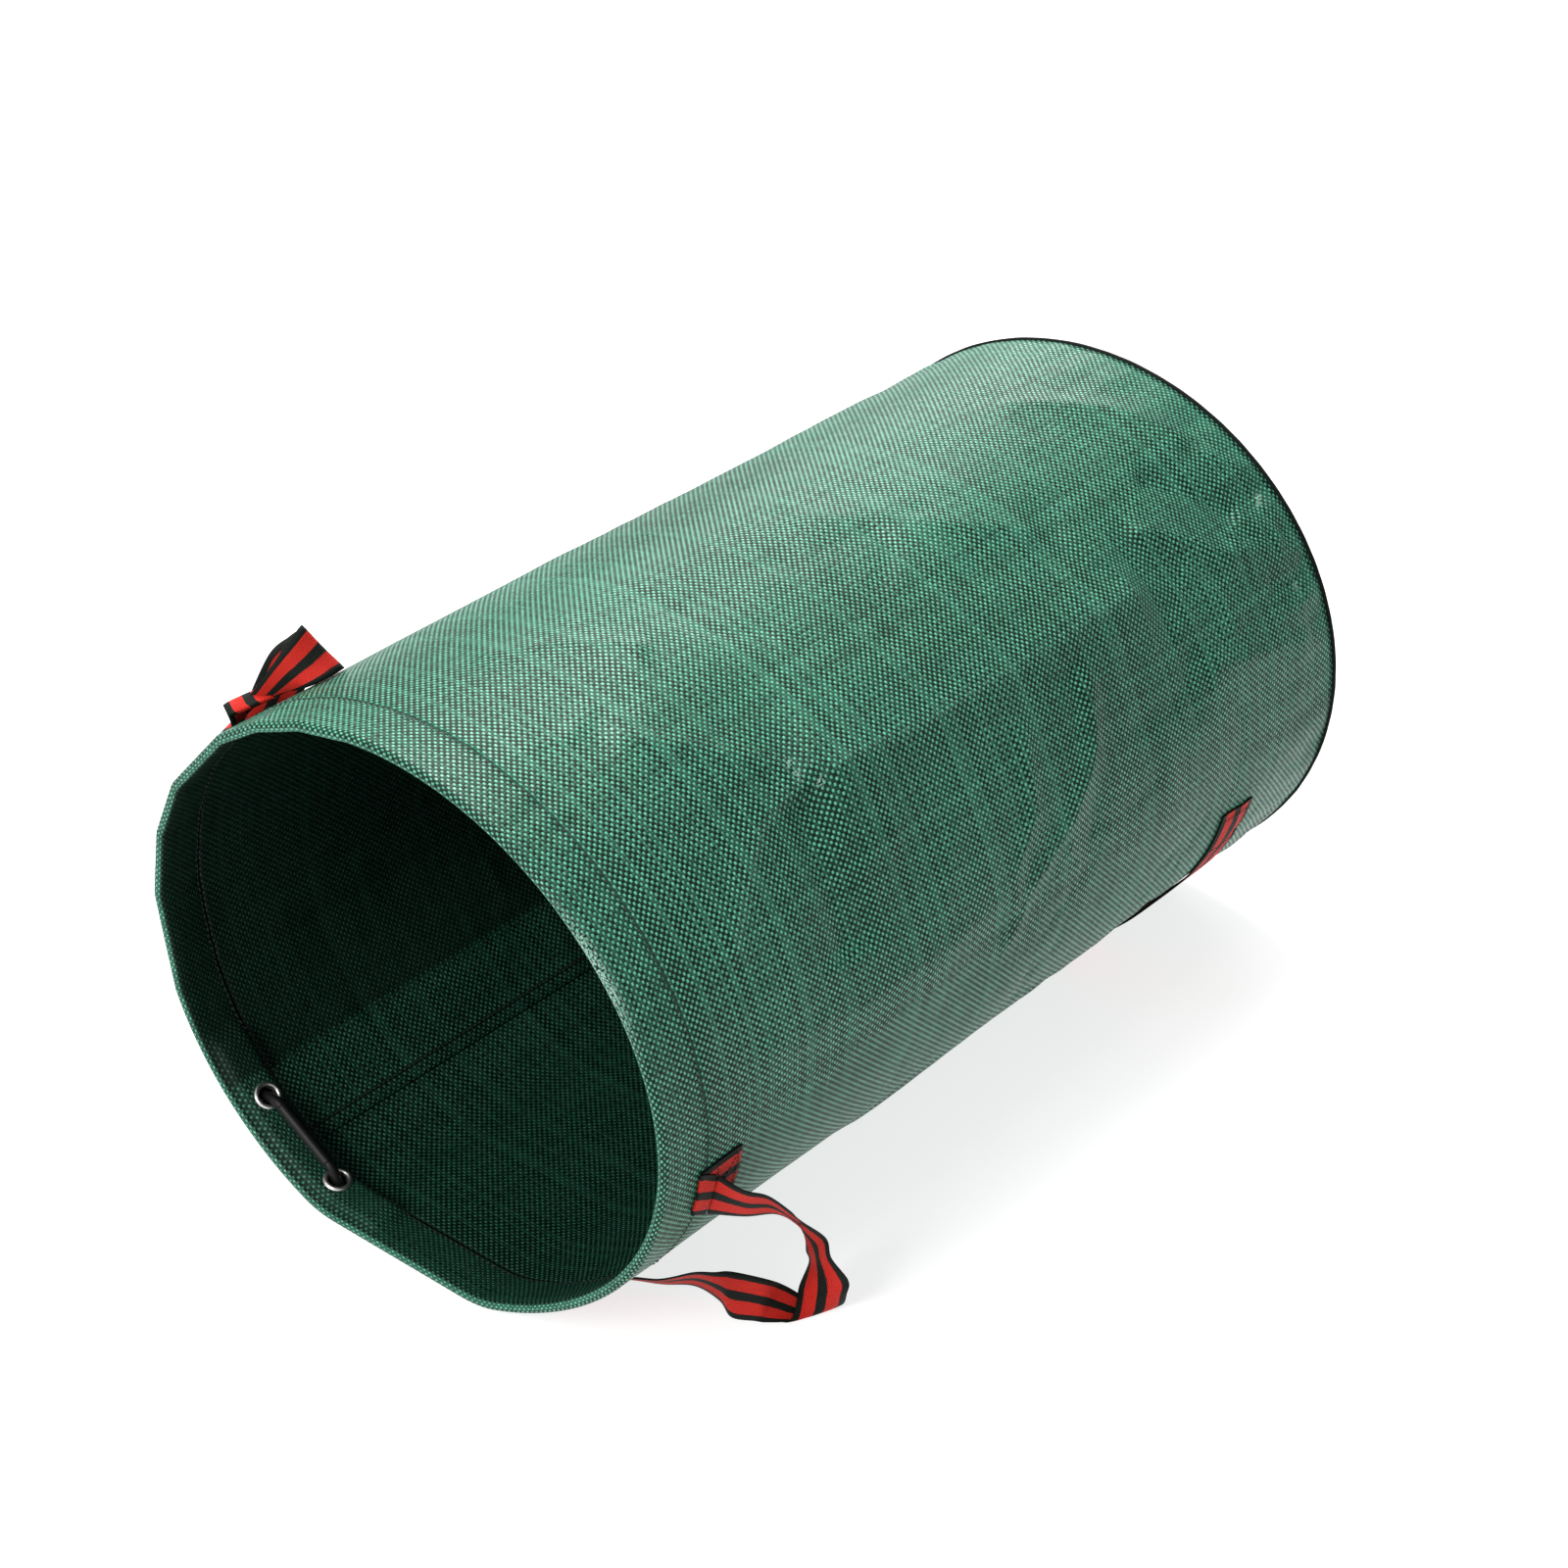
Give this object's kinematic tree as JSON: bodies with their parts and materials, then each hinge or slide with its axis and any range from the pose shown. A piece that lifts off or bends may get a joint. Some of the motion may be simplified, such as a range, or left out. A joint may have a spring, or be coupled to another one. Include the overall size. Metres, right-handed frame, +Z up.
{
  "type": "garden waste bag",
  "caption": "Round woven bag with a hooped, hemmed mouth, a sewn base, side handles at the mouth and a tipping handle near the base.",
  "frame": {"origin": "on the floor, in the flat of the bag's underside, half way along the bag as it lies on its side", "axes": "+Y along the bag from its mouth to its base, +X to the right of someone facing into the mouth, +Z up"},
  "size_m": [0.5112, 0.76, 0.4289],
  "materials": {
    "woven_cloth": "coated plain weave of flat tapes, half gloss",
    "seam_binding": "matt",
    "hoop_tube": "gloss",
    "eyelet_metal": "nickel plated",
    "webbing": "woven, lengthwise stripes of dark and red"
  },
  "bodies": {
    "bag": {"side_panel": "woven_cloth", "side_seam_flap": "woven_cloth", "base_panel": "woven_cloth", "base_binding": "seam_binding"},
    "mouth_ring": {"mouth_hem": "woven_cloth", "mouth_hoop": "hoop_tube", "hoop_sleeve": "hoop_tube", "upper_eyelet": "eyelet_metal", "upper_eyelet_washer": "eyelet_metal", "lower_eyelet": "eyelet_metal", "lower_eyelet_washer": "eyelet_metal", "right_handle_end_a": "webbing", "right_handle_end_b": "webbing", "left_handle_end_a": "webbing", "left_handle_end_b": "webbing"},
    "base_handle_ends": {"base_handle_end_a": "webbing", "base_handle_end_b": "webbing"},
    "right_handle": {"right_handle_loop": "webbing"},
    "left_handle": {"left_handle_loop": "webbing"},
    "base_handle": {"base_handle_loop": "webbing"}
  },
  "joints": [
    {"name": "bag_collapse", "type": "slide", "parent": "bag", "child": "mouth_ring", "axis": [0, 1, 0], "range_m": [0, 0.5], "deforming": ["side_panel", "side_seam_flap"]},
    {"name": "base_handle_shift", "type": "slide", "parent": "bag", "child": "base_handle_ends", "axis": [0, 1, 0], "range_m": [0, 0.0805]},
    {"name": "right_handle_swing", "type": "hinge", "parent": "mouth_ring", "child": "right_handle", "pos_m": [0.1733, -0.346, 0.0902], "axis": [-0.6497, 0, -0.7602], "range_deg": [0, 108]},
    {"name": "left_handle_swing", "type": "hinge", "parent": "mouth_ring", "child": "left_handle", "pos_m": [-0.2207, -0.346, 0.2526], "axis": [0.3045, 0, 0.9525], "range_deg": [0, 120]},
    {"name": "base_handle_swing", "type": "hinge", "parent": "base_handle_ends", "child": "base_handle", "pos_m": [0.1513, 0.26, 0.0671], "axis": [-0.7494, 0, -0.6621], "range_deg": [-8, 8]}
  ],
  "couplings": [
    {"joint": "base_handle_shift", "follows": "bag_collapse", "ratio": 0.161}
  ]
}
